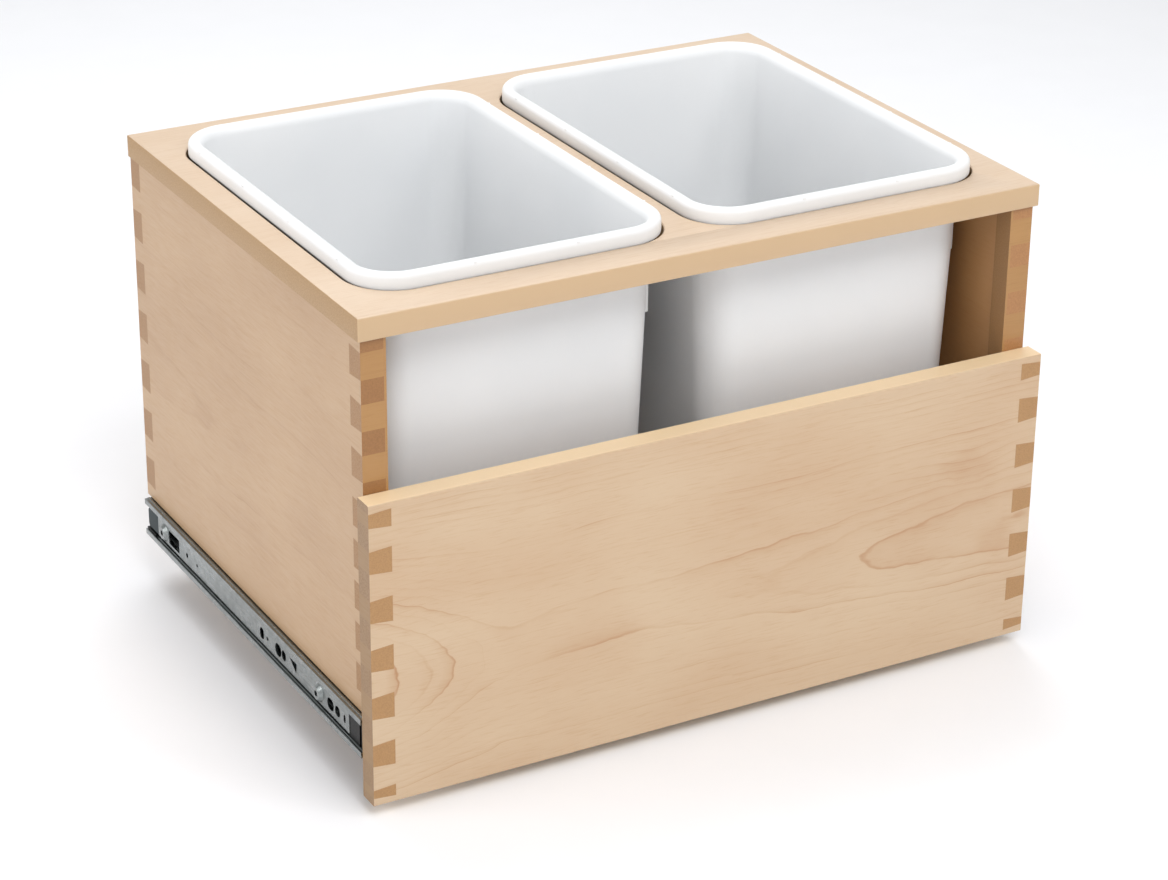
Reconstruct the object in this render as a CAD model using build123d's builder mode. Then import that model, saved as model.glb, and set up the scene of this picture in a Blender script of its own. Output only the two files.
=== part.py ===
from build123d import *
import math
import os

# Pull-out waste-bin drawer. X runs across, +Y towards the back of the cabinet, +Z up.
# The origin is under the middle of the drawer, at the height of the lower front panel's bottom edge.

# box
board = 19.0
box_width = 602.0
box_depth = 448.0
box_bottom = 32.0
plate_bottom = 383.0
plate_overhang = 3.0
plate_round = 1.5
panel_width = 612.0
panel_height = 258.0
panel_round = 1.0
window_bottom = 236.0
stile_web = 2.0

# through dovetails of the box: each pin narrows towards the board's end
front_pin_top = 373.0
front_pin_height = 22.0
upper_pins = 4
upper_pin_pitch = 41.5
lower_pins = 4
lower_pin_pitch = 35.2
back_pin_top = 381.0
back_pin_height = 25.0
back_pins = 7
back_pin_pitch = 46.0
pin_flare = 1.2

# dovetail keys in the ends of the lower front panel: each key widens inwards
key_height = 18.5
key_pitch = 41.5
key_middle = 127.5
full_keys = 5
top_key_height = 11.6
bottom_key_height = 7.0
end_key_margin = 7.0
key_flare = 1.6

# bottom panel, in grooves
bottom_top = 83.0
bottom_thickness = 12.0
groove_depth = 7.0

# cut-outs in the top plate, and the bins that drop through them
cutout_width = 271.0
cutout_length = 377.0
cutout_radius = 42.0
cutout_bridge = 20.0
cutout_front = 33.0
cutout_ease = 0.8
rim_gap = 2.0
rim_top = 414.0
rim_outer_round = 5.0
mouth_depth = 10.0
mouth_inset = 5.6
skirt_height = 14.0
wall = 2.5
bin_draft = 2.1
foot_gap = 0.3
foot_inset = 20.5
foot_round = 6.0
band_bottom = 328.0
band_inset = 8.0
band_length = 307.0
band_round = 1.5
foot_recess = 1.2
foot_ring = 26.0
rib = 2.0
rib_pitch = 88.0
ribs_along = 4
ribs_across = 2

# slides: widths count outwards from the side board's face, heights from the slide's middle
slide_middle = 50.0
slide_front = 1.0
slide_length = 440.0
rebate_depth = 6.7
rebate_top = 67.8
channel_edge = 6.0
channel_half = 17.0
channel_gauge = 1.2
lip_height = 5.0
lip_gauge = 1.0
lip_round = 0.4
middle_gauge = 1.0
middle_edge = 4.6
web_gap = 1.0
ball_radius = 1.6
ball_sides = 8
race_radius = 1.65
race_depth = 0.45
outer_row = 2.2
inner_row = -0.6
cabinet_web = 2.2
cabinet_lip = -2.5
cabinet_front = 27.0
cabinet_rear = 418.0
pad_face = 6.4
wall_screw_radius = 2.5
wall_screw_front = 83.0
wall_screw_spacing = 320.0
slide_screw_places = (61.5, 162.0, 382.0)
access_radius = 4.5
ball_pitch = 28.0
balls_per_row = 7
cage_front = 135.0
cage_length = 195.0
cage_gauge = 0.6
cage_web_gauge = 0.4
cage_gap = 0.3
cage_reach = 1.7

# pressings in the cabinet member: places behind the box's front, lengths and heights
pad_foot = 8.0
pad_taper = 41.0
slots = ((35.5, 3.5, 7), (48.5, 9, 9), (61.5, 12, 10), (151, 8, 9), (162, 12, 11), (194.5, 8, 10))
small_holes = ((183.5, 1.75), (331, 1.5), (353, 2.25))
slot_rounding = 0.45
triangle_place = 132.5
triangle_size = (14.0, 9.0)
triangle_lean = 1.5
window_place = 382.0
window_size = (23.0, 13.0)
window_round = 1.0

# plastic and rubber pieces of the slides
stop_edge = 4.8
stop_web = 0.7
stop_strip = 1.65
stop_length = 28.0
buffer_face = 3.0
buffer_half = 11.6
buffer_gap = 0.5
buffer_step = 8.0
buffer_step_depth = 1.0
buffer_round = 1.0
bumper_back = -2.0
bumper_half = 9.7
bumper_corner = 4.0
bumper_ease = 1.0
clip_inner = 1.4
clip_clearance = 0.05
clip_height = 2.1
clip_length = 19.0

# fasteners
dowel_radius = 4.0
dowel_in_side = 16.0
dowel_in_plate = 12.0
dowel_pitch = 150.0
dowels_per_side = 3
panel_screw_radius = 2.1
panel_screw_head = 4.2
panel_screw_length = 32.0
panel_screw_pitch = 200.0
panel_screw_columns = 3
panel_screw_rows = (104.0, 208.0)
slide_screw_radius = 1.75
slide_screw_head = 2.9
slide_screw_length = 12.0

# worked out
box_front = (board - box_depth) / 2
box_back = box_front + box_depth
box_middle = (box_front + box_back) / 2
half_box = box_width / 2
half_inside = half_box - board
half_panel = panel_width / 2
plate_front = box_front - plate_overhang
cutout_middle = plate_front + cutout_front + cutout_length / 2
bin_middle = (cutout_bridge + cutout_width) / 2
rim_size = (cutout_width - 2 * rim_gap, cutout_length - 2 * rim_gap)
rim_radius = cutout_radius - rim_gap
bin_bottom = bottom_top + foot_gap

# the slide's strips, as heights above and below its middle, and as widths outwards
channel_inner = channel_half - channel_gauge
outer_ball = channel_inner + race_depth - race_radius
middle_outer = 2 * outer_ball - channel_inner
middle_inner = middle_outer - middle_gauge
inner_ball = middle_inner + race_depth - race_radius
cabinet_outer = 2 * inner_ball - middle_inner
cabinet_inner = cabinet_outer - channel_gauge
channel_web = channel_gauge - rebate_depth
middle_web = channel_web + web_gap
middle_web_face = middle_web + middle_gauge
cabinet_face = cabinet_web + channel_gauge

os.makedirs("parts", exist_ok=True)


def write(piece, name):
    piece.label = name
    export_step(piece, f"parts/{name}.step")


# writes a left-hand piece and its mirror image on the right
def write_pair(left, name):
    with BuildPart() as right:
        mirror(left.part, about=Plane.YZ)
    write(left.part, f"left_{name}")
    write(right.part, f"right_{name}")


# upright plane across the drawer, facing the front, some way behind the box's front
def cross_plane(behind):
    return Plane.XZ.offset(-(box_front + behind))


# the same plane, facing the back
def rear_plane(behind):
    return Plane((0, box_front + behind, 0), x_dir=(-1, 0, 0), z_dir=(0, 1, 0))


# cross-section of the left slide: local X outwards, local Y up, extruded backwards
def section_plane(behind):
    origin = (-half_box, box_front + behind, slide_middle)
    return Plane(origin, x_dir=(-1, 0, 0), z_dir=(0, 1, 0))


# plane facing outwards on the left slide: local X forwards from the box's front, local Y up
def web_plane(outwards):
    origin = (-half_box - outwards, box_front, slide_middle)
    return Plane(origin, x_dir=(0, -1, 0), z_dir=(-1, 0, 0))


# pins of one corner as they show on the side of the box
def draw_pins(end, base, tops, height):
    for top in tops:
        bottom = top - height
        with BuildLine() as outline:
            Polyline(
                (end, top),
                (base, top + pin_flare),
                (base, bottom - pin_flare),
                (end, bottom),
                close=True,
            )
        make_face(outline.edges())


lower_start = front_pin_top - (upper_pins - 1) * upper_pin_pitch - lower_pin_pitch
front_pin_tops = [front_pin_top - i * upper_pin_pitch for i in range(upper_pins)]
front_pin_tops += [lower_start - i * lower_pin_pitch for i in range(lower_pins)]
back_pin_tops = [back_pin_top - i * back_pin_pitch for i in range(back_pins)]

with BuildSketch(Plane.YZ.offset(-half_box)) as front_pins:
    draw_pins(box_front, box_front + board, front_pin_tops, front_pin_height)

with BuildSketch(Plane.YZ.offset(-half_box)) as rear_pins:
    draw_pins(box_back, box_back - board, back_pin_tops, back_pin_height)

# the bottom panel fills its grooves, so its own solid cuts them in the boards
with BuildPart() as bottom_panel:
    with BuildSketch(Plane.XY.offset(bottom_top)):
        with Locations((0, box_middle)):
            Rectangle(
                2 * (half_inside + groove_depth),
                box_depth - 2 * (board - groove_depth),
            )
    extrude(amount=-bottom_thickness)
write(bottom_panel.part, "bottom_panel")

# tail board, with a rebate along its lower edge for the slide
with BuildPart() as side_board:
    with BuildSketch(Plane.YZ.offset(-half_box)):
        with Locations((box_middle, (box_bottom + plate_bottom) / 2)):
            Rectangle(box_depth, plate_bottom - box_bottom)
        add(front_pins.sketch_local, mode=Mode.SUBTRACT)
        add(rear_pins.sketch_local, mode=Mode.SUBTRACT)
    extrude(amount=board)
    with BuildSketch(Plane.YZ.offset(-half_box)):
        with Locations((box_front, box_bottom)):
            Rectangle(box_depth, rebate_top - box_bottom, align=(Align.MIN, Align.MIN))
    extrude(amount=rebate_depth, mode=Mode.SUBTRACT)
    add(bottom_panel.part, mode=Mode.SUBTRACT)
    with BuildSketch(Plane.XY.offset(plate_bottom)):
        with Locations((board / 2 - half_box, box_middle)):
            with GridLocations(0, dowel_pitch, 1, dowels_per_side):
                Circle(dowel_radius)
    extrude(amount=-dowel_in_side, mode=Mode.SUBTRACT)
    with Locations(web_plane(channel_web)):
        with Locations([(-place, 0) for place in slide_screw_places]):
            Hole(slide_screw_radius, depth=slide_screw_length)
write_pair(side_board, "side_board")

# pin board cut down to a U: beside the window only thin webs join the pins
with BuildPart() as front_board:
    with BuildSketch(cross_plane(0)):
        with Locations((0, (box_bottom + plate_bottom) / 2)):
            Rectangle(2 * half_inside, plate_bottom - box_bottom)
        with Locations((0, window_bottom)):
            Rectangle(
                2 * (half_inside - stile_web),
                plate_bottom - window_bottom,
                align=(Align.CENTER, Align.MIN),
                mode=Mode.SUBTRACT,
            )
    extrude(amount=-board)
    extrude(front_pins.sketch, amount=board)
    with Locations(rear_plane(board)):
        for row in panel_screw_rows:
            with Locations((0, row)):
                with GridLocations(panel_screw_pitch, 0, panel_screw_columns, 1):
                    CounterSinkHole(
                        panel_screw_radius,
                        panel_screw_head,
                        depth=board,
                        counter_sink_angle=90,
                    )
    add(bottom_panel.part, mode=Mode.SUBTRACT)
    mirror(about=Plane.YZ)
write(front_board.part, "front_board")

with BuildPart() as back_board:
    with BuildSketch(cross_plane(box_depth - board)):
        with Locations((0, (box_bottom + plate_bottom) / 2)):
            Rectangle(2 * half_inside, plate_bottom - box_bottom)
    extrude(amount=-board)
    extrude(rear_pins.sketch, amount=board)
    add(bottom_panel.part, mode=Mode.SUBTRACT)
    mirror(about=Plane.YZ)
write(back_board.part, "back_board")

with BuildPart() as top_plate:
    with BuildSketch(Plane.XY.offset(plate_bottom)):
        with Locations((0, plate_front)):
            Rectangle(
                box_width + 2 * plate_overhang,
                box_depth,
                align=(Align.CENTER, Align.MIN),
            )
        with Locations((-bin_middle, cutout_middle), (bin_middle, cutout_middle)):
            RectangleRounded(cutout_width, cutout_length, cutout_radius, mode=Mode.SUBTRACT)
    extrude(amount=board)
    top_face = top_plate.faces().sort_by(Axis.Z)[-1]
    fillet(top_face.outer_wire().edges(), plate_round)
    top_face = top_plate.faces().sort_by(Axis.Z)[-1]
    for opening in top_face.inner_wires():
        chamfer(opening.edges(), cutout_ease)
    with BuildSketch(Plane.XY.offset(plate_bottom)):
        for side in (-1, 1):
            with Locations((side * (half_box - board / 2), box_middle)):
                with GridLocations(0, dowel_pitch, 1, dowels_per_side):
                    Circle(dowel_radius)
    extrude(amount=dowel_in_plate, mode=Mode.SUBTRACT)
write(top_plate.part, "top_plate")


# one dovetail key seen from the front, in the panel's left end
def draw_key(middle, height):
    outer = height / 2
    inner = outer + key_flare
    with BuildLine() as outline:
        Polyline(
            (-half_panel, middle + outer),
            (board - half_panel, middle + inner),
            (board - half_panel, middle - inner),
            (-half_panel, middle - outer),
            close=True,
        )
    make_face(outline.edges())


with BuildSketch(cross_plane(0)) as key_outline:
    for i in range(full_keys):
        draw_key(key_middle + (i - (full_keys - 1) / 2) * key_pitch, key_height)
    draw_key(panel_height - end_key_margin - top_key_height / 2, top_key_height)
    draw_key(end_key_margin + bottom_key_height / 2, bottom_key_height)

with BuildPart() as end_keys:
    extrude(key_outline.sketch, amount=board)
write_pair(end_keys, "end_keys")

with BuildPart() as lower_front_panel:
    with BuildSketch(cross_plane(0)):
        Rectangle(panel_width, panel_height, align=(Align.CENTER, Align.MIN))
    extrude(amount=board)
    fillet(lower_front_panel.edges().filter_by(Axis.X), panel_round)
    add(end_keys.part, mode=Mode.SUBTRACT)
    mirror(end_keys.part, about=Plane.YZ, mode=Mode.SUBTRACT)
    with Locations(rear_plane(0)):
        for row in panel_screw_rows:
            with Locations((0, row)):
                with GridLocations(panel_screw_pitch, 0, panel_screw_columns, 1):
                    Hole(panel_screw_radius, depth=panel_screw_length - board)
write(lower_front_panel.part, "lower_front_panel")


with BuildPart() as top_dowels:
    with BuildSketch(Plane.XY.offset(plate_bottom - dowel_in_side)):
        for side in (-1, 1):
            with Locations((side * (half_box - board / 2), box_middle)):
                with GridLocations(0, dowel_pitch, 1, dowels_per_side):
                    Circle(dowel_radius)
    extrude(amount=dowel_in_side + dowel_in_plate)
write(top_dowels.part, "top_dowels")


# countersunk screw, its head's top on the local XY plane
def make_screw(radius, head_radius, length):
    head = head_radius - radius
    with BuildPart() as screw:
        with BuildSketch(Plane.XZ):
            with BuildLine():
                Polyline(
                    (0, 0),
                    (head_radius, 0),
                    (radius, -head),
                    (radius, -length),
                    (0, -length),
                    close=True,
                )
            make_face()
        revolve(axis=Axis.Z)
    return screw.part


panel_screw = make_screw(panel_screw_radius, panel_screw_head, panel_screw_length)
with BuildPart() as panel_screws:
    with Locations(rear_plane(board)):
        for row in panel_screw_rows:
            with Locations((0, row)):
                with GridLocations(panel_screw_pitch, 0, panel_screw_columns, 1):
                    add(panel_screw)
write(panel_screws.part, "panel_screws")

slide_screw = make_screw(slide_screw_radius, slide_screw_head, slide_screw_length)
with BuildPart() as slide_screws:
    with Locations(web_plane(channel_web)):
        with Locations([(-place, 0) for place in slide_screw_places]):
            add(slide_screw)
write_pair(slide_screws, "slide_screws")


# segment of a disc beyond a level, added or cut
def draw_cap(across, level, centre, radius, mode):
    half = math.sqrt(radius**2 - (centre - level) ** 2)
    tip = centre + math.copysign(radius, level - centre)
    with BuildLine() as outline:
        ThreePointArc((across - half, level), (across, tip), (across + half, level))
        Line((across + half, level), (across - half, level))
    make_face(outline.edges(), mode=mode)


# rolls a ball race into the upper and lower strips of a member: a groove towards the balls
# and the same bulge on the strip's other face
def roll_races(across, centre, ball_face, back_face):
    gauge = abs(back_face - ball_face)
    for side in (-1, 1):
        draw_cap(across, side * back_face, side * centre, race_radius + gauge, Mode.ADD)
        draw_cap(across, side * ball_face, side * centre, race_radius, Mode.SUBTRACT)


# channel section, open towards its edge
def draw_channel(web, edge, half, web_gauge, strip_gauge):
    inside = edge - web - math.copysign(web_gauge, edge - web)
    with Locations(((web + edge) / 2, 0)):
        RectangleRounded(abs(edge - web), 2 * half, strip_gauge)
    with Locations((edge - (edge - web) / 4, 0)):
        Rectangle(abs(edge - web) / 2, 2 * half)
    with Locations((edge - inside / 2, 0)):
        Rectangle(abs(inside), 2 * (half - strip_gauge), mode=Mode.SUBTRACT)


# widest member, screwed into the rebate with its mouth outwards between two turned lips
with BuildPart() as drawer_member:
    with BuildSketch(section_plane(slide_front)):
        draw_channel(-rebate_depth, channel_edge, channel_half, channel_gauge, channel_gauge)
        for side in (-1, 1):
            with Locations((channel_edge - lip_gauge / 2, side * (channel_half - lip_height / 2))):
                Rectangle(lip_gauge, lip_height)
        roll_races(outer_row, outer_ball, channel_inner, channel_half)
    extrude(amount=slide_length)
    fillet(drawer_member.edges().filter_by(Axis.Y).group_by(Axis.X)[0], lip_round)
    with Locations(web_plane(channel_web)):
        with Locations([(-place, 0) for place in slide_screw_places]):
            CounterSinkHole(
                slide_screw_radius,
                slide_screw_head,
                depth=slide_screw_length,
                counter_sink_angle=90,
            )
write_pair(drawer_member, "drawer_member")

# member between the two rows of balls, with holes that reach the drawer member's screws
with BuildPart() as middle_member:
    with BuildSketch(section_plane(slide_front)):
        draw_channel(middle_web, middle_edge, middle_outer, middle_gauge, middle_gauge)
        roll_races(outer_row, outer_ball, middle_outer, middle_inner)
        roll_races(inner_row, inner_ball, middle_inner, middle_outer)
    extrude(amount=slide_length)
    with BuildSketch(web_plane(middle_web)):
        with Locations([(-place, 0) for place in slide_screw_places]):
            SlotOverall(4 * access_radius, 2 * access_radius)
    extrude(amount=middle_gauge, mode=Mode.SUBTRACT)
write_pair(middle_member, "middle_member")

# innermost member, its web outwards: embossed pads at the wall screws, punched slots between
with BuildPart() as cabinet_member:
    with BuildSketch(section_plane(cabinet_front)):
        draw_channel(cabinet_face, cabinet_lip, cabinet_outer, channel_gauge, channel_gauge)
        roll_races(inner_row, inner_ball, cabinet_outer, cabinet_inner)
    extrude(amount=cabinet_rear - cabinet_front)
    for behind in (wall_screw_front, wall_screw_front + wall_screw_spacing):
        for start, radius, mode in (
            (cabinet_face, pad_foot, Mode.ADD),
            (cabinet_web, pad_foot - channel_gauge / 2, Mode.SUBTRACT),
        ):
            with BuildSketch(web_plane(start)):
                with Locations((-behind, 0)):
                    Circle(radius)
            extrude(amount=pad_face - cabinet_face, taper=pad_taper, mode=mode)
        with BuildSketch(web_plane(cabinet_web)):
            with Locations((-behind, 0)):
                Circle(wall_screw_radius)
        extrude(amount=pad_face - cabinet_web, mode=Mode.SUBTRACT)
    with BuildSketch(web_plane(cabinet_web)):
        for behind, length, height in slots:
            with Locations((-behind, 0)):
                RectangleRounded(length, height, min(length, height) * slot_rounding)
        for behind, radius in small_holes:
            with Locations((-behind, 0)):
                Circle(radius)
        with BuildLine(Location((-triangle_place, 0))):
            Polyline(
                (-triangle_size[0] / 2, triangle_size[1] / 2),
                (triangle_size[0] / 2, triangle_size[1] / 2),
                (triangle_size[0] / 2 - triangle_lean, -triangle_size[1] / 2),
                close=True,
            )
        make_face()
        with Locations((-window_place, 0)):
            RectangleRounded(*window_size, window_round)
    extrude(amount=channel_gauge, mode=Mode.SUBTRACT)
write_pair(cabinet_member, "cabinet_member")


# ball with few flat sides, because there are many: its corners lie within the ball's radius
def make_ball():
    half_turn = math.pi / ball_sides
    waist = ball_radius * math.cos(half_turn)
    band = ball_radius * math.sin(half_turn)
    with BuildPart() as ball:
        with BuildSketch():
            RegularPolygon(waist, ball_sides)
        extrude(amount=band, both=True)
        extrude(ball.faces().sort_by(Axis.Z)[-1], amount=waist - band, taper=45)
        mirror(about=Plane.XY)
    return ball.part


# ball cage: a thin channel with a row of holes in each strip, and the balls in them
def make_cage(across, level, web, edge):
    middle = box_front + cage_front + cage_length / 2
    ball = make_ball()
    with BuildPart() as cage:
        with BuildSketch(section_plane(cage_front)):
            draw_channel(web, edge, level + cage_gauge / 2, cage_web_gauge, cage_gauge)
        extrude(amount=cage_length)
        with BuildSketch(Plane.XY.offset(slide_middle)):
            with Locations((-half_box - across, middle)):
                with GridLocations(0, ball_pitch, 1, balls_per_row):
                    RegularPolygon(race_radius, ball_sides)
        extrude(amount=level + cage_gauge, both=True, mode=Mode.SUBTRACT)
    with BuildPart() as balls:
        for side in (-1, 1):
            with Locations((-half_box - across, middle, slide_middle + side * level)):
                with GridLocations(0, ball_pitch, 1, balls_per_row):
                    add(ball)
    return cage, balls


outer_cage, outer_balls = make_cage(
    outer_row, outer_ball, channel_web + cage_gap, outer_row + cage_reach
)
write_pair(outer_cage, "outer_cage")
write_pair(outer_balls, "outer_balls")
inner_cage, inner_balls = make_cage(
    inner_row, inner_ball, middle_web_face + cage_gap, inner_row + cage_reach
)
write_pair(inner_cage, "inner_cage")
write_pair(inner_balls, "inner_balls")

# black plastic stop, wrapped behind the middle member in the drawer member's front end
with BuildPart() as front_stop:
    with BuildSketch(section_plane(slide_front)):
        draw_channel(channel_web, stop_edge, channel_inner, stop_web, stop_strip)
    extrude(amount=stop_length)
write_pair(front_stop, "front_stop")

# black plastic buffer inside the middle member's front end
with BuildPart() as front_buffer:
    with BuildSketch(section_plane(slide_front)):
        with Locations(((middle_web_face + buffer_face) / 2, 0)):
            Rectangle(buffer_face - middle_web_face, 2 * buffer_half)
    extrude(amount=cabinet_front - slide_front - buffer_gap)
    with BuildSketch(web_plane(buffer_face)):
        with Locations((-slide_front - buffer_step / 2, 0)):
            Rectangle(buffer_step, 2 * buffer_half)
    extrude(amount=-buffer_step_depth, mode=Mode.SUBTRACT)
    fillet(front_buffer.edges().filter_by(Axis.Y).group_by(Axis.X)[0], buffer_round)
write_pair(front_buffer, "front_buffer")

# dark rubber bumper behind the cabinet member
with BuildPart() as rear_bumper:
    with BuildSketch(web_plane(bumper_back)):
        with Locations((-(cabinet_rear + slide_front + slide_length) / 2, 0)):
            RectangleRounded(slide_front + slide_length - cabinet_rear, 2 * bumper_half, bumper_corner)
    extrude(amount=cabinet_face - bumper_back)
    chamfer(rear_bumper.faces().sort_by(Axis.X)[0].edges(), bumper_ease)
write_pair(rear_bumper, "rear_bumper")

# black plastic clip on the middle member's lower lip, at the rear
with BuildPart() as rear_clip:
    with BuildSketch(section_plane(slide_front + slide_length - clip_length)):
        with Locations((clip_inner, -middle_inner)):
            Rectangle(middle_edge - clip_inner, clip_height, align=(Align.MIN, Align.MIN))
        with Locations((outer_row, -outer_ball)):
            Circle(race_radius + middle_gauge + clip_clearance, mode=Mode.SUBTRACT)
    extrude(amount=clip_length)
write_pair(rear_clip, "rear_clip")


# rounded rectangle at a height, set in evenly from the rim's outer edge
def draw_level(height, inset):
    with BuildSketch(Plane.XY.offset(height)) as level:
        with Locations((-bin_middle, cutout_middle)):
            RectangleRounded(
                rim_size[0] - 2 * inset,
                rim_size[1] - 2 * inset,
                rim_radius - inset,
            )
    return level.sketch


# how far the bin's form, shrunk evenly by a margin, is set in at a height
def form_inset(margin, height):
    return foot_inset + margin - (height - bin_bottom) * math.tan(math.radians(bin_draft))


# bin's tapered form, shrunk evenly by a margin
def raise_form(margin, foot_rounding, top):
    floor = bin_bottom + margin
    with BuildPart() as form:
        extrude(draw_level(floor, form_inset(margin, floor)), amount=top - floor, taper=-bin_draft)
        fillet(form.faces().sort_by(Axis.Z)[0].edges(), foot_rounding)
    return form.part


skirt_bottom = rim_top - skirt_height
mouth_bottom = rim_top - mouth_depth
mouth_narrow = form_inset(wall, mouth_bottom)
mouth_flare = math.degrees(math.atan((mouth_narrow - mouth_inset) / mouth_depth))


# flared form of the bin's mouth, grown evenly by a margin
def raise_mouth(margin):
    with BuildPart() as form:
        extrude(
            draw_level(mouth_bottom, mouth_narrow - margin),
            amount=mouth_depth,
            taper=-mouth_flare,
        )
    return form.part


# hollow under the rim, between its skirt and the flared wall, crossed by ribs
with BuildPart() as rim_hollow:
    extrude(draw_level(skirt_bottom, wall), amount=skirt_height - wall)
    add(raise_form(0, foot_round, rim_top), mode=Mode.SUBTRACT)
    add(raise_mouth(wall), mode=Mode.SUBTRACT)
    with BuildSketch(Plane.XY.offset(skirt_bottom)):
        with Locations((-bin_middle, cutout_middle)):
            with GridLocations(0, rib_pitch, 1, ribs_along):
                Rectangle(rim_size[0], rib)
            with GridLocations(rib_pitch, 0, ribs_across, 1):
                Rectangle(rib, rim_size[1])
    extrude(amount=skirt_height, mode=Mode.SUBTRACT)

# bin with an upright band on its right side, and a hollow rim that hangs into the plate's cut-out
with BuildPart() as left_bin:
    with BuildSketch(Plane.XY.offset(band_bottom)):
        with Locations((-bin_middle, cutout_middle)):
            Rectangle(
                rim_size[0] / 2 - band_inset,
                band_length,
                align=(Align.MIN, Align.CENTER),
            )
    extrude(amount=skirt_bottom - band_bottom)
    fillet(left_bin.edges().filter_by(Axis.Y).group_by(Axis.Z)[0].sort_by(Axis.X)[-1], band_round)
    add(raise_form(0, foot_round, skirt_bottom))
    extrude(draw_level(skirt_bottom, 0), amount=skirt_height)
    fillet(left_bin.faces().sort_by(Axis.Z)[-1].edges(), rim_outer_round)
    add(raise_form(wall, foot_round - wall, rim_top), mode=Mode.SUBTRACT)
    add(raise_mouth(0), mode=Mode.SUBTRACT)
    add(rim_hollow.part, mode=Mode.SUBTRACT)
    extrude(draw_level(bin_bottom, foot_ring), amount=foot_recess, mode=Mode.SUBTRACT)
write(left_bin.part, "left_bin")

# the other bin is the same one, moved across
with BuildPart() as right_bin:
    with Locations((2 * bin_middle, 0, 0)):
        add(left_bin.part)
write(right_bin.part, "right_bin")
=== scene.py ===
import math

import bmesh
import bpy
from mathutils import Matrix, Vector


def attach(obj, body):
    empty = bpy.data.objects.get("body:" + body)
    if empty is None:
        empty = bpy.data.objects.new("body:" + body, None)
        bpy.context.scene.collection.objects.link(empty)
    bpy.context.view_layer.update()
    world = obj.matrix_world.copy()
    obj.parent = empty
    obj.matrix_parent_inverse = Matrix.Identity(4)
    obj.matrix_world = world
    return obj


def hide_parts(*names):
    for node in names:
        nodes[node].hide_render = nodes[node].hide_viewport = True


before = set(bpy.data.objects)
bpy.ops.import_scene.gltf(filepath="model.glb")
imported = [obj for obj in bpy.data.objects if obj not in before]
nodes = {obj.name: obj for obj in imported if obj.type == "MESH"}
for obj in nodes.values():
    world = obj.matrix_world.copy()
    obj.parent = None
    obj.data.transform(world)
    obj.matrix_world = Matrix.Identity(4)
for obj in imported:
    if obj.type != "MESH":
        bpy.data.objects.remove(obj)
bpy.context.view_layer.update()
scene = bpy.context.scene
print("frame loaded:", len(nodes), "nodes")


cameraLook = {
    "place": (-1.20937, -2.17570, 1.30667),
    "turn": (65.080, -0.546, -28.948),  # degrees
    "lens": 99.32,
}
camera = bpy.data.objects.new("camera", bpy.data.cameras.new("camera"))
scene.collection.objects.link(camera)
camera.location = cameraLook["place"]
camera.rotation_euler = [math.radians(angle) for angle in cameraLook["turn"]]
camera.data.lens = cameraLook["lens"]
camera.data.sensor_width = 36
camera.data.clip_end = 100
scene.camera = camera

lightLook = {
    "sky": (0.38, 0.95),  # strength overhead and at the horizon
    "skyTop": 0.8,  # sine of the elevation from which the sky is all overhead
    "floor": ("#f4f5f8", "#f1f2f5"),  # the paper's white, and its shade where it is clouded
    "cloud": 14,  # waves in a metre of that clouding
    "pulp": 2,  # mm, about the length of a real fibre, but many times as wide
    "floorLevel": -0.012,  # lower than the box, which widens the shadow at its foot to the photo's
    "floorReach": 20,
    "softboxes": [
        # place, aimed at, width, watts
        ((-0.3, -1.5, 2.9), (0.0, 0.0, 0.2), 2.2, 18),
        ((-0.4, -2.0, 2.5), (0.0, 0.0, 0.2), 1.4, 31),
        ((1.3, -2.2, 2.4), (0.0, 0.0, 0.2), 1.0, 15),
        ((0.3, 1.3, 2.6), (0.0, 0.0, 0.3), 1.8, 33),
        ((-2.7, 0.3, 1.0), (0.0, 0.0, 0.2), 1.6, 27),
    ],
}


# an sRGB hex colour as the linear one that sockets want
def linearColour(hexText):
    parts = [int(hexText[i : i + 2], 16) / 255 for i in (1, 3, 5)]
    return tuple(c / 12.92 if c <= 0.04045 else ((c + 0.055) / 1.055) ** 2.4 for c in parts) + (1,)


# adds a shader node: keywords set its own options, and inputs get a value or another node's output
def addNode(tree, kind, inputs=None, **options):
    node = tree.nodes.new("ShaderNode" + kind)
    for option, value in options.items():
        setattr(node, option, value)
    for name, value in (inputs or {}).items():
        if isinstance(value, bpy.types.NodeSocket):
            tree.links.new(value, node.inputs[name])
        else:
            node.inputs[name].default_value = value
    return node


# sets a colour ramp's stops from (place, grey) pairs
def setRamp(node, stops):
    ramp = node.color_ramp
    while len(ramp.elements) < len(stops):
        ramp.elements.new(0.5)
    for element, (place, grey) in zip(ramp.elements, stops):
        element.position = place
        element.color = (grey, grey, grey, 1)
    return node.outputs["Color"]


# an empty material with its shader, ready for a tree
def startMaterial(name):
    material = bpy.data.materials.new(name)
    material.use_nodes = True
    tree = material.node_tree
    tree.nodes.clear()
    shader = addNode(tree, "BsdfPrincipled")
    addNode(tree, "OutputMaterial", {"Surface": shader.outputs["BSDF"]})
    return material, tree, shader


# a sky that is brighter near the horizon, as in a white studio lit from its walls
world = bpy.data.worlds.new("studio")
world.use_nodes = True
scene.world = world
sky = world.node_tree
height = addNode(
    sky, "SeparateXYZ", {"Vector": addNode(sky, "TexCoord").outputs["Generated"]}
).outputs["Z"]
overhead, horizon = lightLook["sky"]
level = addNode(
    sky,
    "MapRange",
    {"Value": height, "From Max": lightLook["skyTop"], "To Min": horizon, "To Max": overhead},
)
sky.nodes["Background"].inputs["Color"].default_value = (1, 1, 1, 1)
sky.links.new(level.outputs["Result"], sky.nodes["Background"].inputs["Strength"])
scene.view_settings.view_transform = "Standard"

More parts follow.
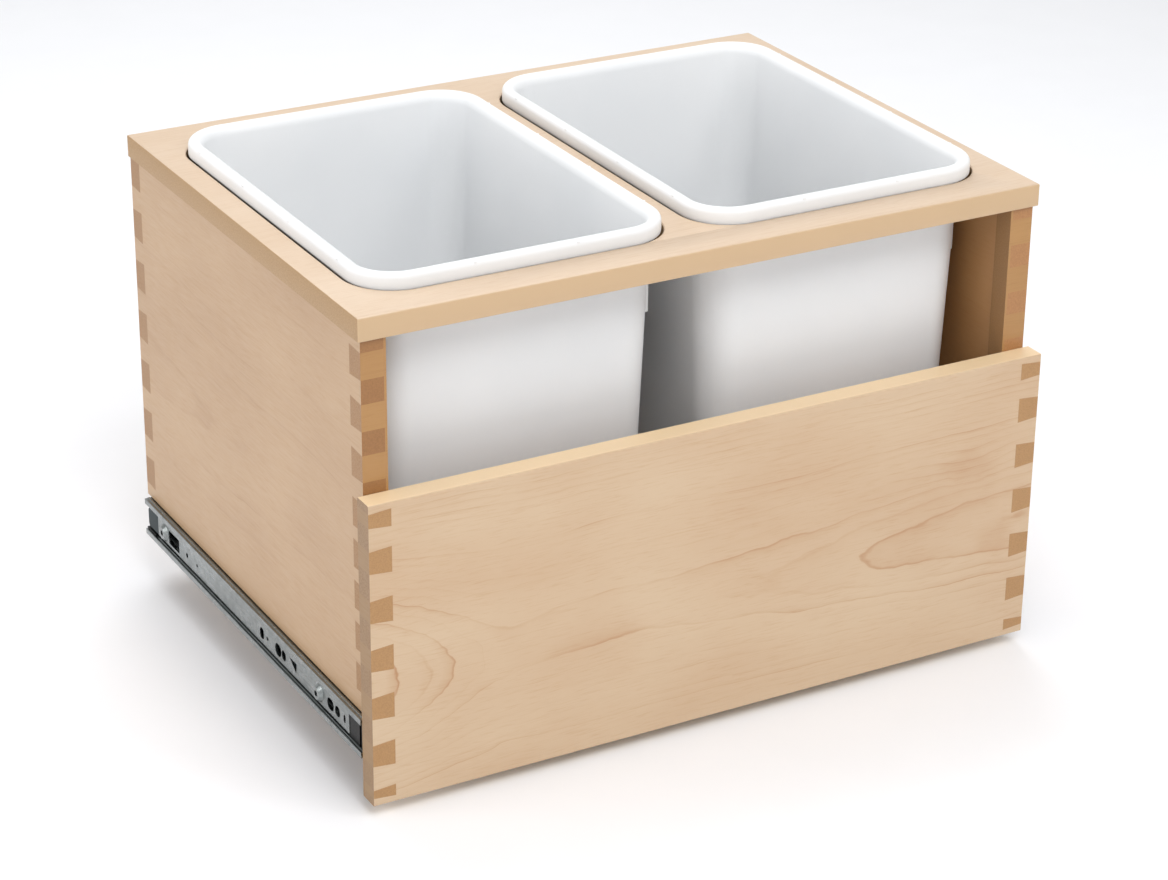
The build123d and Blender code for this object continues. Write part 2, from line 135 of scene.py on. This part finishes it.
for place, aim, width, watts in lightLook["softboxes"]:
    light = bpy.data.objects.new("softbox", bpy.data.lights.new("softbox", "AREA"))
    scene.collection.objects.link(light)
    light.data.size = width
    light.data.energy = watts
    light.location = place
    light.rotation_euler = (Vector(aim) - Vector(place)).to_track_quat("-Z", "Y").to_euler()

floorMesh = bmesh.new()
bmesh.ops.create_grid(floorMesh, x_segments=1, y_segments=1, size=lightLook["floorReach"])
bmesh.ops.translate(floorMesh, verts=floorMesh.verts, vec=(0, 0, lightLook["floorLevel"]))
floorData = bpy.data.meshes.new("floor")
floorMesh.to_mesh(floorData)
floor = bpy.data.objects.new("floor", floorData)
scene.collection.objects.link(floor)

# The photo shows plain white, which is taken for backdrop paper, uncoated and calendered: dull, with a cloud
# of fibres too faint to stand out.
floorPaint, tree, shader = startMaterial("calendered backdrop paper")
where = addNode(tree, "TexCoord").outputs["Object"]
cloud = addNode(
    tree, "TexNoise", {"Vector": where, "Scale": lightLook["cloud"], "Detail": 3}
).outputs["Fac"]
pulp = addNode(
    tree, "TexNoise", {"Vector": where, "Scale": 1000 / lightLook["pulp"], "Detail": 2}
).outputs["Fac"]
white, shade = (linearColour(colour) for colour in lightLook["floor"])
tinted = addNode(tree, "Mix", {"Factor": cloud, 6: white, 7: shade}, data_type="RGBA").outputs[2]
gloss = addNode(tree, "MapRange", {"Value": pulp, "To Min": 0.85, "To Max": 0.95}).outputs["Result"]
relief = addNode(tree, "Bump", {"Height": pulp, "Strength": 0.05, "Distance": 0.0002}).outputs["Normal"]
tree.links.new(tinted, shader.inputs["Base Color"])
tree.links.new(gloss, shader.inputs["Roughness"])
tree.links.new(relief, shader.inputs["Normal"])
floorData.materials.append(floorPaint)
print("camera, lights and floor placed")


mapleLook = {
    # waves in a metre, squeezed along the board, and mm that the growth lines stray
    "stray": ((6, 0.7, 14), (24, 0.4, 4), (60, 0.4, 1.8), (170, 0.5, 0.5)),
    "fibre": (24, 1.2),  # mm, a dash of darker fibre: real ones are a tenth as wide
    "ragged": (26, (0.03, 0, 0.02)),  # waves in a metre on a bulge's rim, and how far they reach in metres
    "bulgeReach": 1.6,  # of its size
    "patch": (24, 0.4, 0.72),  # waves in a metre, and the range over which the growth lines fade in
    "faded": 0.13,  # what is left of a line where it is faded most
    "ringSpread": 1.5,  # the higher, the fewer rings that are plain to see
    "blotch": (11, 0.35, 0.75, 0.3),  # waves in a metre, range and strength
    "mottle": (1.05, 0.85),
    "roughness": (0.36, 0.52),
    "coat": (0.12, 0.25),  # weight and roughness
}


# Hard maple, planed and given a clear satin lacquer. The eye sees pale wood with thin, soft growth lines,
# some of them lost and some plain, short darker dashes of fibre along the grain, and darker end grain.
# - pith is where the tree's middle ran, in mm, and turn how it lay, in degrees
# - edge is an axis, and a tone painted on the faces that look along it: painted light where it is lighter
#   than the wood, painted shade where it is darker
# - ring is the mm between growth lines; lines and dashes are strengths
# - bulges bend the growth lines: a place, a size and a rise in mm, and how much curly dark grain they hold
def makeMaple(
    name, pith, turn, pale, dark, end, edge=None, ring=4.6, lines=0.5, dashes=0.25, bulges=()
):
    look = mapleLook
    material, tree, shader = startMaterial(name)
    where = addNode(tree, "TexCoord")
    # the pattern's X axis is the tree's pith
    place = addNode(
        tree,
        "Mapping",
        {
            "Vector": where.outputs["Object"],
            "Location": [value / 1000 for value in pith],
            "Rotation": [math.radians(angle) for angle in turn],
        },
        vector_type="TEXTURE",
    ).outputs["Vector"]

    # slow wander and quick trembling of the growth lines
    stray = place
    for scale, squeeze, amount in look["stray"]:
        long = addNode(tree, "VectorMath", {0: place, 1: (squeeze, 1, 1)}, operation="MULTIPLY").outputs[0]
        noise = addNode(tree, "TexNoise", {"Vector": long, "Scale": scale, "Detail": 2})
        step = (amount / 1000,) * 3
        stray = addNode(
            tree, "VectorMath", {0: noise.outputs["Color"], 1: step, 2: stray}, operation="MULTIPLY_ADD"
        ).outputs[0]
    across = addNode(tree, "VectorMath", {0: stray, 1: (0, 1, 1)}, operation="MULTIPLY").outputs[0]
    radius = addNode(tree, "VectorMath", {0: across}, operation="LENGTH").outputs["Value"]

    figured = 0.0
    if bulges:
        scale, reach = look["ragged"]
        noise = addNode(tree, "TexNoise", {"Vector": where.outputs["Object"], "Scale": scale, "Detail": 3})
        ragged = addNode(
            tree,
            "VectorMath",
            {0: noise.outputs["Color"], 1: reach, 2: where.outputs["Object"]},
            operation="MULTIPLY_ADD",
        ).outputs[0]
    for centre, size, rise, curl in bulges:
        away = addNode(
            tree,
            "Mapping",
            {
                "Vector": ragged,
                "Location": [value / 1000 for value in centre],
                "Scale": [value / 1000 for value in size],
            },
            vector_type="TEXTURE",
        ).outputs["Vector"]
        away = addNode(tree, "VectorMath", {0: away}, operation="LENGTH").outputs["Value"]
        bulge = addNode(
            tree,
            "MapRange",
            {"Value": away, "From Max": look["bulgeReach"], "To Min": 1, "To Max": 0},
            interpolation_type="SMOOTHSTEP",
        ).outputs["Result"]
        radius = addNode(
            tree, "Math", {0: bulge, 1: rise / 1000, 2: radius}, operation="MULTIPLY_ADD"
        ).outputs[0]
        if curl:
            figured = addNode(
                tree, "Math", {0: bulge, 1: curl, 2: figured}, operation="MULTIPLY_ADD"
            ).outputs[0]

    # growth lines: dark where a summer ends, each ring with a strength of its own, and fading in and out
    rings = addNode(tree, "Math", {0: radius, 1: 1000 / ring}, operation="MULTIPLY").outputs[0]
    phase = addNode(tree, "Math", {0: rings}, operation="FRACT").outputs[0]
    count = addNode(tree, "Math", {0: rings}, operation="FLOOR").outputs[0]
    own = addNode(tree, "TexWhiteNoise", {"W": count}, noise_dimensions="1D").outputs["Value"]
    own = addNode(tree, "Math", {0: own, 1: look["ringSpread"]}, operation="POWER").outputs[0]
    line = setRamp(
        addNode(tree, "ValToRGB", {"Fac": phase}),
        ((0, 0.3), (0.05, 0), (0.5, 0), (0.88, 0.35), (0.96, 1), (1, 0.5)),
    )
    stretched = addNode(tree, "VectorMath", {0: stray, 1: (0.5, 1, 1)}, operation="MULTIPLY").outputs[0]
    scale, low, high = look["patch"]
    patch = addNode(tree, "TexNoise", {"Vector": stretched, "Scale": scale, "Detail": 3}).outputs["Fac"]
    if figured:
        patch = addNode(tree, "Math", {0: figured, 1: 0.3, 2: patch}, operation="MULTIPLY_ADD").outputs[0]
        own = addNode(tree, "Math", {0: own, 1: figured}, operation="MAXIMUM").outputs[0]
    fade = addNode(
        tree, "MapRange", {"Value": patch, "From Min": low, "From Max": high, "To Min": look["faded"]}
    ).outputs["Result"]
    for factor in (fade, own, lines):
        line = addNode(tree, "Math", {0: line, 1: factor}, operation="MULTIPLY").outputs[0]

    # short dashes of fibre, drawn out along the grain
    long, wide = look["fibre"]
    squeeze = (1000 / long, 1000 / wide, 1000 / wide)
    thread = addNode(tree, "VectorMath", {0: stray, 1: squeeze}, operation="MULTIPLY").outputs[0]
    fibre = addNode(
        tree, "TexNoise", {"Vector": thread, "Scale": 1, "Detail": 3, "Roughness": 0.6}
    ).outputs["Fac"]
    dash = setRamp(addNode(tree, "ValToRGB", {"Fac": fibre}), ((0.52, 0), (0.78, dashes)))

    scale, low, high, strength = look["blotch"]
    blotch = addNode(tree, "TexNoise", {"Vector": stretched, "Scale": scale, "Detail": 4}).outputs["Fac"]
    tint = addNode(
        tree, "MapRange", {"Value": blotch, "From Min": low, "From Max": high, "To Max": strength}
    ).outputs["Result"]

    # across the grain the cut ends of the fibres drink more light
    facing = addNode(tree, "SeparateXYZ", {"Vector": where.outputs["Normal"]})
    along = "Y" if abs(turn[2]) > 45 else "X"
    square = addNode(tree, "Math", {0: facing.outputs[along], 1: 2.0}, operation="POWER").outputs[0]
    cut = addNode(tree, "MapRange", {"Value": square, "From Min": 0.4, "From Max": 0.9}).outputs["Result"]

    layers = [(tint, dark), (line, dark), (dash, dark)]
    if figured:
        cloud = addNode(tree, "Math", {0: figured, 1: blotch}, operation="MULTIPLY").outputs[0]
        cloud = addNode(tree, "MapRange", {"Value": cloud, "From Min": 0.3, "From Max": 0.6, "To Max": 0.4})
        layers.append((cloud.outputs["Result"], dark))
    # painted light and shade: faces that look along the edge's axis take its tone, though they are the same
    # wood
    if edge:
        axis, tone = edge
        square = addNode(tree, "Math", {0: facing.outputs[axis], 1: 2.0}, operation="POWER").outputs[0]
        paintedFaceMask = addNode(tree, "MapRange", {"Value": square, "From Min": 0.4})
        layers.append((paintedFaceMask.outputs["Result"], tone))
    layers.append((cut, end))
    colour = linearColour(pale)
    for amount, other in layers:
        colour = addNode(
            tree, "Mix", {"Factor": amount, 6: colour, 7: linearColour(other)}, data_type="RGBA"
        ).outputs[2]

    # the end grain's own mottling
    bright, dull = look["mottle"]
    grain = addNode(
        tree,
        "MapRange",
        {"Value": fibre, "From Min": 0.35, "From Max": 0.75, "To Min": bright, "To Max": dull},
    ).outputs["Result"]
    mottled = addNode(tree, "VectorMath", {0: colour, 1: grain}, operation="MULTIPLY").outputs[0]
    colour = addNode(tree, "Mix", {"Factor": cut, 6: colour, 7: mottled}, data_type="RGBA").outputs[2]

    low, high = look["roughness"]
    gloss = addNode(
        tree, "MapRange", {"Value": fibre, "From Min": 0.3, "From Max": 0.7, "To Min": low, "To Max": high}
    ).outputs["Result"]
    relief = addNode(tree, "Bump", {"Height": fibre, "Strength": 0.1, "Distance": 0.0004})
    tree.links.new(colour, shader.inputs["Base Color"])
    tree.links.new(gloss, shader.inputs["Roughness"])
    tree.links.new(relief.outputs["Normal"], shader.inputs["Normal"])
    shader.inputs["Coat Weight"].default_value, shader.inputs["Coat Roughness"].default_value = look["coat"]
    return material


# the outside of the left board, the front board, the right board's inside, and the dovetail keys; the right
# board's tones are the same maple painted browner, as painted shade
sideTones = {"pale": "#b39472", "dark": "#926c47", "end": "#936639"}
pinTones = {"pale": "#ab804c", "dark": "#8b6034", "end": "#946c3f"}
# painted shade: the right board's inside tones, browner than the left board's outside
shadedInsideTones = {"pale": "#b38759", "dark": "#936236", "end": "#a67547"}
# the keys' faces that look along X, on the panel's ends, get a darker tone that is painted shade
keyTones = {"pale": "#af8251", "dark": "#916637", "end": "#a87f51", "edge": ("X", "#8f6f48")}
panelBulges = (
    # the tree's own bow: rings close up towards the left end and open out towards the right one
    ((-325, -233, 110), (100, 80, 110), -26, 0.5),
    ((340, -233, 122), (290, 80, 90), -16, 0.5),
    ((255, -233, 182), (46, 60, 17), 5, 0.38),
    ((288, -233, 108), (28, 60, 18), 0, 0.45),
    ((-170, -233, 34), (22, 60, 5), 3, 0.5),
    ((165, -233, 36), (14, 60, 4), 3, 0.5),
)
boards = {
    "left_side_board": makeMaple(
        "left side maple", (-410, 0, 215), (0, 0, 89), ring=7, lines=0.45, dashes=0.12, **sideTones
    ),
    # the right board wears the inside tones, which are painted shade
    "right_side_board": makeMaple(
        "right side maple", (410, 0, 180), (0, 0, 91), ring=7, lines=0.45, dashes=0.12, **shadedInsideTones
    ),
    "front_board": makeMaple("front board maple", (0, -110, 150), (0, 0, 1), **pinTones),
    "back_board": makeMaple(
        "back board maple", (0, 340, 190), (0, 0, -1), pale="#c0a27d", dark="#a07b52", end="#946c3f"
    ),
    "top_plate": makeMaple(
        "top plate maple",
        (0, -70, 560),
        (0, 1, 1),
        pale="#d0baa2",
        dark="#b89670",
        end="#a07c4c",
        # painted shade: the plate's front and back edges, which look along Y, are darker than its top
        edge=("Y", "#c2a47f"),
        lines=0.6,
        dashes=0.35,
    ),
    "lower_front_panel": makeMaple(
        "lower front maple",
        (0, -120, 122),
        (0, 0, 0.4),
        pale="#c8af91",
        dark="#a77445",
        end="#8a6a45",
        # painted light: the panel's top and bottom edges, which look along Z, are lighter than its front
        edge=("Z", "#eacfa8"),
        ring=5.2,
        lines=0.85,
        bulges=panelBulges,
    ),
    "bottom_panel": makeMaple(
        "bottom maple", (0, 40, -60), (0, 1, 1), pale="#cfb08a", dark="#ab8358", end="#a5845f"
    ),
    "left_end_keys": makeMaple("left key maple", (-340, 0, 60), (0, 0, 90), ring=3, **keyTones),
    "right_end_keys": makeMaple("right key maple", (345, 0, 190), (0, 0, 90), ring=3, **keyTones),
}
boards["top_dowels"] = boards["left_end_keys"]
print("maple mixed")


steelLook = {
    # a colour, and the one that the cloudy crystals mix into it
    "slide": ("#9ea2a2", "#7f8483"),
    "screw": ("#8b8982", "#6d6b65"),
    "ball": ("#cfd1d2", "#bfc1c3"),
    "roughness": (0.22, 0.38),
    "crystal": 7,  # mm
    "drawn": (1400, 14, 1400),  # waves in a metre of the drawing lines, which run along the slide
}


# Cold-rolled steel strip, zinc plated after rolling. A grey mirror blurred by the plating, with cloudy
# crystals a few millimetres across and faint drawing lines along the slide.
def makeSteel(name, colour, stain):
    material, tree, shader = startMaterial(name)
    where = addNode(tree, "TexCoord").outputs["Object"]
    cloud = addNode(
        tree, "TexNoise", {"Vector": where, "Scale": 1000 / steelLook["crystal"], "Detail": 3}
    ).outputs["Fac"]
    long = addNode(tree, "VectorMath", {0: where, 1: steelLook["drawn"]}, operation="MULTIPLY").outputs[0]
    drawn = addNode(tree, "TexNoise", {"Vector": long, "Scale": 1, "Detail": 2}).outputs["Fac"]
    mixed = addNode(tree, "Mix", {"Factor": 0.5, 2: cloud, 3: drawn}).outputs[0]
    colours = addNode(
        tree,
        "Mix",
        {
            "Factor": setRamp(addNode(tree, "ValToRGB", {"Fac": mixed}), ((0.35, 0), (0.65, 1))),
            6: linearColour(colour),
            7: linearColour(stain),
        },
        data_type="RGBA",
    ).outputs[2]
    low, high = steelLook["roughness"]
    gloss = addNode(
        tree, "MapRange", {"Value": mixed, "From Min": 0.35, "From Max": 0.65, "To Min": low, "To Max": high}
    ).outputs["Result"]
    relief = addNode(tree, "Bump", {"Height": drawn, "Strength": 0.08, "Distance": 0.0002}).outputs["Normal"]
    tree.links.new(colours, shader.inputs["Base Color"])
    tree.links.new(gloss, shader.inputs["Roughness"])
    tree.links.new(relief, shader.inputs["Normal"])
    shader.inputs["Metallic"].default_value = 1
    return material


slideSteel = makeSteel("zinc-plated slide steel", *steelLook["slide"])
screwSteel = makeSteel("zinc-plated screw steel", *steelLook["screw"])
ballSteel = makeSteel("polished ball steel", *steelLook["ball"])


mouldedLook = {
    "cloud": 6,  # waves in a metre of the cloudiness
    "uneven": 0.06,  # how far the roughness strays to either side
}


# Moulded plastic or rubber: an even colour broken by the mould's fine spark-eroded texture, which shows as a
# soft sparkle in the gloss, and by a faint cloudiness where the wall cooled unevenly.
# grit is the texture's size in mm, and relief its strength.
def makeMoulded(name, colour, shade, roughness, grit, relief, specular):
    material, tree, shader = startMaterial(name)
    where = addNode(tree, "TexCoord").outputs["Object"]
    cloud = addNode(
        tree, "TexNoise", {"Vector": where, "Scale": mouldedLook["cloud"], "Detail": 3}
    ).outputs["Fac"]
    spark = addNode(tree, "TexNoise", {"Vector": where, "Scale": 1000 / grit, "Detail": 2}).outputs["Fac"]
    mixed = addNode(
        tree,
        "Mix",
        {
            "Factor": setRamp(addNode(tree, "ValToRGB", {"Fac": cloud}), ((0.35, 0), (0.7, 1))),
            6: linearColour(colour),
            7: linearColour(shade),
        },
        data_type="RGBA",
    ).outputs[2]
    low, high = roughness - mouldedLook["uneven"], roughness + mouldedLook["uneven"]
    gloss = addNode(
        tree, "MapRange", {"Value": spark, "From Min": 0.3, "From Max": 0.7, "To Min": low, "To Max": high}
    ).outputs["Result"]
    bump = addNode(tree, "Bump", {"Height": spark, "Strength": relief, "Distance": 0.0002}).outputs["Normal"]
    tree.links.new(mixed, shader.inputs["Base Color"])
    tree.links.new(gloss, shader.inputs["Roughness"])
    tree.links.new(bump, shader.inputs["Normal"])
    shader.inputs["Specular IOR Level"].default_value = specular
    return material


# polypropylene, injection moulded: white and faintly waxy; its grit is drawn ten times as coarse as real
binPlastic = makeMoulded("white polypropylene", "#e7e8e9", "#e0e2e4", 0.55, 1.5, 0.06, 0.35)
# acetal, injection moulded black
blackPlastic = makeMoulded("black acetal", "#090a0a", "#121313", 0.45, 1.0, 0.15, 0.25)
# moulded nitrile rubber, dark grey and dull
bumperRubber = makeMoulded("grey nitrile rubber", "#3d4446", "#333a3c", 0.7, 0.8, 0.3, 0.3)
print("metal and plastic mixed")


# turns a mesh into a piece of the scene that rides on a body and stands for CAD nodes
def finishPiece(mesh, name, material, body, replaced, smoothAngle=35):
    data = bpy.data.meshes.new(name)
    mesh.to_mesh(data)
    mesh.free()
    data.shade_smooth()
    data.set_sharp_from_angle(angle=math.radians(smoothAngle))
    data.materials.append(material)
    piece = bpy.data.objects.new(name, data)
    scene.collection.objects.link(piece)
    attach(piece, body)
    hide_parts(*replaced)
    return piece


binLook = {
    # in metres, with heights above the frame's zero
    "middle": (0.1455, 0.004),
    "rim": (0.267, 0.373, 0.040),  # width, length, corner
    "bottom": 0.0833,
    "skirt": 0.400,
    "top": 0.414,
    "wall": 0.0025,
    "draft": 2.1,  # degrees
    "waist": 0.2,  # height of a ring that keeps the wall's faces short
    "footInset": 0.0205,
    "footRound": 0.006,
    "footRing": (0.026, 0.0012),  # inset and depth of the recess underneath
    "rimRound": 0.005,
    "skirtRound": 0.0016,
    "mouth": (0.0046, 0.0122, 0.009),  # the roll's insets at its top and bottom, and its depth
    "below": 0.38,  # height where the inside takes the wall's draft
    "hollow": (0.404, 0.0045),  # height where the hollow starts to narrow, and its inset at the top
    "bandInset": 0.008,
    "band": (0.328, 0.307),  # bottom and length
    "bandWall": (0.0026, 0.0018, 0.001),  # thickness at the top, how much thicker below, and its rounding
    "ribs": ((-0.044, 0.044), (-0.132, -0.044, 0.044, 0.132)),  # across and along the bin
    "rib": (0.001, 0.0082),  # half its thickness, and how far in it reaches
    "floorStep": (0.004, 0.0015, 0.0008),  # inset, width and height of the step round the floor
    "cornerSteps": 12,
}


# a bin's wall from the middle of its underside over the rim to its floor, as (inset, height) points
def binProfile():
    look = binLook
    foot, wall, bottom, top, skirt = (look[key] for key in ("footInset", "wall", "bottom", "top", "skirt"))
    slope = math.tan(math.radians(look["draft"]))
    ring, recess = look["footRing"]
    rounding, rim, skirtRound = look["footRound"], look["rimRound"], look["skirtRound"]
    mouthTop, mouthBottom, mouthDepth = look["mouth"]
    narrowing, hollow = look["hollow"]
    waist, inner = look["waist"], rounding - wall

    def outside(height, inset=0.0):
        return foot + inset - (height - bottom) * slope, height

    # quarter circle that leaves start, nearing the corner between both ends
    def arc(start, corner, end, steps=6):
        corner, start, end = Vector(corner), Vector(start), Vector(end)
        turns = [i / steps * math.pi / 2 for i in range(steps + 1)]
        return [
            corner + (start - corner) * (1 - math.sin(turn)) + (end - corner) * (1 - math.cos(turn))
            for turn in turns
        ]

    points = [(ring, bottom + recess), (ring, bottom)]
    points += arc((foot + rounding, bottom), (foot, bottom), outside(bottom + rounding))
    points += [outside(waist), outside(skirt), outside(narrowing), (hollow, top - wall), (wall, top - wall)]
    chamfer = 0.0004
    points += [(wall, skirt + chamfer), (wall - chamfer, skirt)]
    points += arc((skirtRound, skirt), (0, skirt), (0, skirt + skirtRound), 4)
    points += arc((0, top - rim), (0, top), (rim * 0.9, top))
    points += arc((mouthTop, top), (mouthBottom, top), (mouthBottom, top - mouthDepth), 9)
    points += [outside(look["below"], wall), outside(waist, wall)]
    inside = foot + wall
    points += arc(outside(bottom + rounding, wall), (inside, bottom + wall), (inside + inner, bottom + wall))
    return points


# moves a ring of the wall's points to an inset from the rim's outer edge, and to a height
def placeRing(points, inset, height):
    width, length, corner = binLook["rim"]
    for point in points:
        x, y = point.co.x, point.co.y
        middle = Vector((math.copysign(width / 2 - corner, x), math.copysign(length / 2 - corner, y)))
        outwards = (point.co.xy - middle).normalized()
        point.co.xy = middle + outwards * (corner - inset)
        point.co.z = height


# a box between two corners
def addBlock(mesh, low, high):
    block = bmesh.ops.create_cube(mesh, size=1)["verts"]
    bmesh.ops.scale(mesh, verts=block, vec=[b - a for a, b in zip(low, high)])
    bmesh.ops.translate(mesh, verts=block, vec=[(a + b) / 2 for a, b in zip(low, high)])
    return block


# extruding leaves a mesh's parts in a chance order, so they are put in order of their places
def sortParts(mesh):
    def place(part):
        points = getattr(part, "verts", [part])
        return tuple(sum((point.co for point in points), Vector()) / len(points))

    for parts in (mesh.verts, mesh.edges, mesh.faces):
        ranks = {part: rank for rank, part in enumerate(sorted(parts, key=place))}
        parts.sort(key=ranks.get)


def makeBin(side, node):
    look = binLook
    width, length, corner = look["rim"]
    profile = binProfile()
    mesh = bmesh.new()
    first = bmesh.ops.create_grid(mesh, x_segments=1, y_segments=1, size=0.5)["verts"]
    inset = profile[0][0]
    bmesh.ops.scale(mesh, verts=first, vec=(width - 2 * inset, length - 2 * inset, 1))
    bmesh.ops.bevel(
        mesh,
        geom=first,
        offset=corner - inset,
        offset_type="OFFSET",
        affect="VERTICES",
        segments=look["cornerSteps"],
        profile=0.5,
        material=-1,
    )
    placeRing(mesh.verts, *profile[0])
    ring = list(mesh.edges)
    for inset, height in profile[1:]:
        grown = bmesh.ops.extrude_edge_only(mesh, edges=ring)["geom"]
        points = [part for part in grown if isinstance(part, bmesh.types.BMVert)]
        ring = [
            part
            for part in grown
            if isinstance(part, bmesh.types.BMEdge) and all(point in points for point in part.verts)
        ]
        placeRing(points, inset, height)
    floorFace = bmesh.ops.contextual_create(mesh, geom=ring)["faces"]
    stepInset, stepWidth, stepHeight = look["floorStep"]
    bmesh.ops.inset_region(mesh, faces=floorFace, thickness=stepInset)
    bmesh.ops.inset_region(mesh, faces=floorFace, thickness=stepWidth, depth=stepHeight)
    bmesh.ops.recalc_face_normals(mesh, faces=mesh.faces)

    # upright band on the right side
    bandBottom, bandLength = look["band"]
    bandWall, bandSlant, bandRound = look["bandWall"]
    bandFace = width / 2 - look["bandInset"]
    band = addBlock(
        mesh,
        (bandFace - bandWall, -bandLength / 2, bandBottom),
        (bandFace, bandLength / 2, look["skirt"]),
    )
    back = [v for v in band if v.co.x < bandFace - 0.001 and v.co.z < bandBottom + 0.001]
    bmesh.ops.translate(mesh, verts=back, vec=(-bandSlant, 0, 0))
    face = [v for v in band if v.co.x > bandFace - 0.001]
    arrises = [edge for edge in mesh.edges if all(end in face for end in edge.verts)]
    bmesh.ops.bevel(
        mesh, geom=arrises, offset=bandRound, affect="EDGES", segments=3, profile=0.5, material=-1
    )

    # ribs in the hollow under the rim
    half, reach = look["rib"]
    gap = 0.0005
    low, high = look["skirt"] + 0.0003, look["top"] - look["wall"] / 2
    across, along = look["ribs"]
    for x in across:
        for y in (-length / 2 + gap, length / 2 - reach):
            addBlock(mesh, (x - half, y, low), (x + half, y + reach - gap, high))
    for y in along:
        for x in (-width / 2 + gap, width / 2 - reach):
            addBlock(mesh, (x, y - half, low), (x + reach - gap, y + half, high))
    sortParts(mesh)
    x, y = look["middle"]
    bmesh.ops.translate(mesh, verts=mesh.verts, vec=(side * x, y, 0))
    return finishPiece(mesh, node + "_smooth", binPlastic, node, [node])


makeBin(-1, "left_bin")
makeBin(1, "right_bin")
print("bins moulded")


mergeGap = 0.00001  # joins the CAD's loose triangles

easing = {
    # width in mm and steps of the rounding that sanding leaves on the long arrises, and the record's slot
    "top_plate": (0.9, 3, "plate_maple"),
    "lower_front_panel": (0.7, 3, "panel_maple"),
}


# a board whose long straight arrises are eased, made from the board itself
def easeBoard(node):
    width, steps, slot = easing[node]
    mesh = bmesh.new()
    mesh.from_mesh(nodes[node].data)
    mesh.transform(nodes[node].matrix_world)
    bmesh.ops.remove_doubles(mesh, verts=mesh.verts, dist=mergeGap)
    bmesh.ops.dissolve_limit(mesh, angle_limit=math.radians(0.5), verts=mesh.verts, edges=mesh.edges)
    # dovetails meet tightly, so only sharp arrises longer than any of theirs are rounded
    shortest, sharp = 0.06, math.radians(60)
    joins = [edge for edge in mesh.edges if len(edge.link_faces) == 2]
    arrises = [e for e in joins if e.calc_length() > shortest and e.calc_face_angle_signed() > sharp]
    bmesh.ops.bevel(
        mesh,
        geom=arrises,
        offset=width / 1000,
        affect="EDGES",
        segments=steps,
        profile=0.5,
        material=-1,
        clamp_overlap=True,
    )
    bmesh.ops.recalc_face_normals(mesh, faces=mesh.faces)
    return finishPiece(mesh, node + "_eased", boards[node], "drawer", [node], 30)


for node in easing:
    easeBoard(node)
print("arrises eased")


ballLook = {"radius": 0.0016, "roundness": 2}


# polished balls, each where the CAD node has its own
def makeBalls(node, body):
    mesh = bmesh.new()
    mesh.from_mesh(nodes[node].data)
    bmesh.ops.remove_doubles(mesh, verts=mesh.verts, dist=mergeGap)
    # the corners of one ball are those that its edges lead to
    centres = []
    for point in mesh.verts:
        if point.tag:
            continue
        ball = [point]
        point.tag = True
        for corner in ball:
            for edge in corner.link_edges:
                other = edge.other_vert(corner)
                if not other.tag:
                    other.tag = True
                    ball.append(other)
        centres.append(sum((corner.co for corner in ball), Vector()) / len(ball))
    mesh.clear()
    radius, roundness = ballLook["radius"], ballLook["roundness"]
    for centre in centres:
        grown = bmesh.ops.create_icosphere(mesh, subdivisions=roundness, radius=radius)
        bmesh.ops.translate(mesh, verts=grown["verts"], vec=centre)
    finishPiece(mesh, node + "_round", ballSteel, body, [node], 180)


for side in ("left", "right"):
    makeBalls(side + "_outer_balls", "outer_cages")
    makeBalls(side + "_inner_balls", "inner_cages")
print("balls polished")


# every CAD node gets its material, also those that a piece stands for
keep = dict(boards)
for side in ("left", "right"):
    for part in ("drawer_member", "middle_member", "cabinet_member", "outer_cage", "inner_cage"):
        keep[f"{side}_{part}"] = slideSteel
    for part in ("front_stop", "front_buffer", "rear_clip"):
        keep[f"{side}_{part}"] = blackPlastic
    keep[f"{side}_rear_bumper"] = bumperRubber
    keep[f"{side}_slide_screws"] = screwSteel
    keep[f"{side}_outer_balls"] = ballSteel
    keep[f"{side}_inner_balls"] = ballSteel
keep["panel_screws"] = screwSteel
for name, material in keep.items():
    for place in nodes[name].material_slots:
        place.material = material
print("materials given to", len(keep), "parts")
